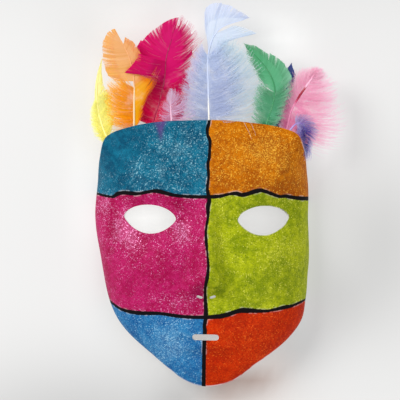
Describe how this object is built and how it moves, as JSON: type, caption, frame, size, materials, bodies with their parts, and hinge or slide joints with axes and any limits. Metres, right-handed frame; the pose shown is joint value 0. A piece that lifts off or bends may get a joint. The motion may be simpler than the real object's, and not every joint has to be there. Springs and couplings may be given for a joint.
{
  "type": "feathered face mask",
  "caption": "Moulded plastic full-face mask with eye holes, nostril holes and a mouth slot, painted in glittering colour fields, with dyed feathers behind its forehead.",
  "frame": {"origin": "middle of the underside of the whole part as it lies face up on its rim", "axes": "+X to the viewer's right when the mask is seen from the front, +Y from the chin towards the forehead and the feather tips, +Z out of the face"},
  "size_m": [0.1666, 0.2552, 0.0582],
  "materials": {
    "painted_shell": "white plastic under glittering craft paint in six colour fields with black dividing lines; bare white on the back",
    "feather_yellow": "soft dyed feather",
    "feather_orange": "soft dyed feather, paler at its tip",
    "feather_magenta": "soft dyed feather",
    "feather_blush": "soft dyed down",
    "feather_sky": "soft dyed feather",
    "feather_green": "soft dyed feather",
    "feather_navy": "soft dyed feather",
    "feather_pink": "soft dyed down",
    "feather_violet": "soft dyed down"
  },
  "bodies": {
    "root": {"mask_shell": "painted_shell", "feather_yellow": "feather_yellow", "feather_orange": "feather_orange", "feather_magenta": "feather_magenta", "feather_blush": "feather_blush", "feather_sky": "feather_sky", "feather_green": "feather_green", "feather_navy": "feather_navy", "feather_pink": "feather_pink", "feather_violet": "feather_violet"}
  },
  "joints": []
}
